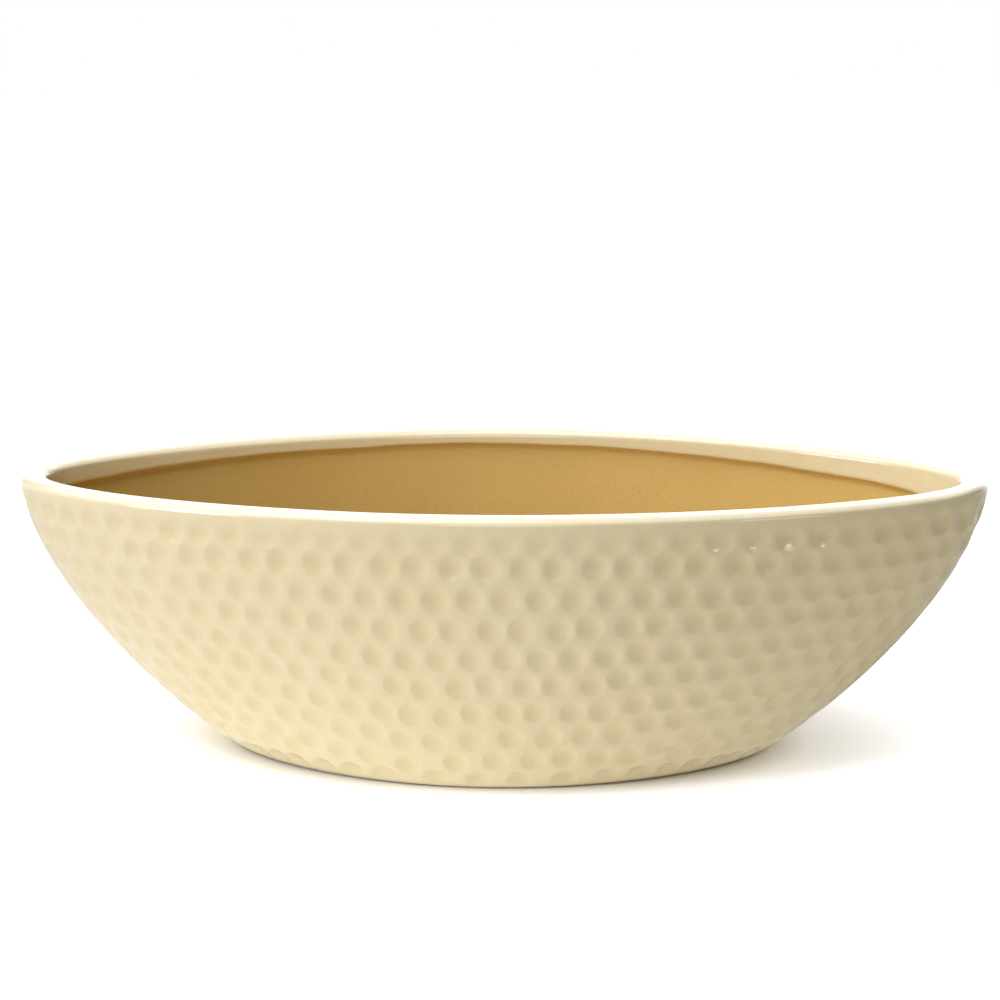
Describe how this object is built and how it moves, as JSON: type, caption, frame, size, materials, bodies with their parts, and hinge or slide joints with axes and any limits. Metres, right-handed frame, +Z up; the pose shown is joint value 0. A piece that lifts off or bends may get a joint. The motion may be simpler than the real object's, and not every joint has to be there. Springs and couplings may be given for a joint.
{
  "type": "bonsai pot",
  "caption": "Long oval bonsai pot with a flared, dimpled wall and a flat lip, and a mesh screen held by a wire clip over each drain hole in its floor.",
  "frame": {"origin": "middle of the foot, on the surface that the pot stands on", "axes": "+X along the pot's length, +Y across it, +Z up through the mouth"},
  "size_m": [0.3048, 0.155, 0.0875],
  "materials": {
    "cream_glaze": "glossy cream glaze outside, over the lip and a little way inside it; bare buff clay inside and under the foot",
    "screen_mesh": "moulded black mesh, dull",
    "clip_wire": "bronze anodised soft aluminium wire, satin"
  },
  "bodies": {
    "pot": {"pot_body": "cream_glaze"},
    "screen_left": {"drain_screen_left": "screen_mesh"},
    "clip_left": {"screen_clip_left": "clip_wire"},
    "screen_right": {"drain_screen_right": "screen_mesh"},
    "clip_right": {"screen_clip_right": "clip_wire"}
  },
  "joints": [
    {"name": "screen_left_lift", "type": "slide", "parent": "pot", "child": "screen_left", "axis": [0, 0, 1], "range_m": [0, 0.1]},
    {"name": "clip_left_pull", "type": "slide", "parent": "screen_left", "child": "clip_left", "axis": [0, 0, 1], "range_m": [0, 0.02]},
    {"name": "screen_right_lift", "type": "slide", "parent": "pot", "child": "screen_right", "axis": [0, 0, 1], "range_m": [0, 0.1]},
    {"name": "clip_right_pull", "type": "slide", "parent": "screen_right", "child": "clip_right", "axis": [0, 0, 1], "range_m": [0, 0.02]}
  ]
}
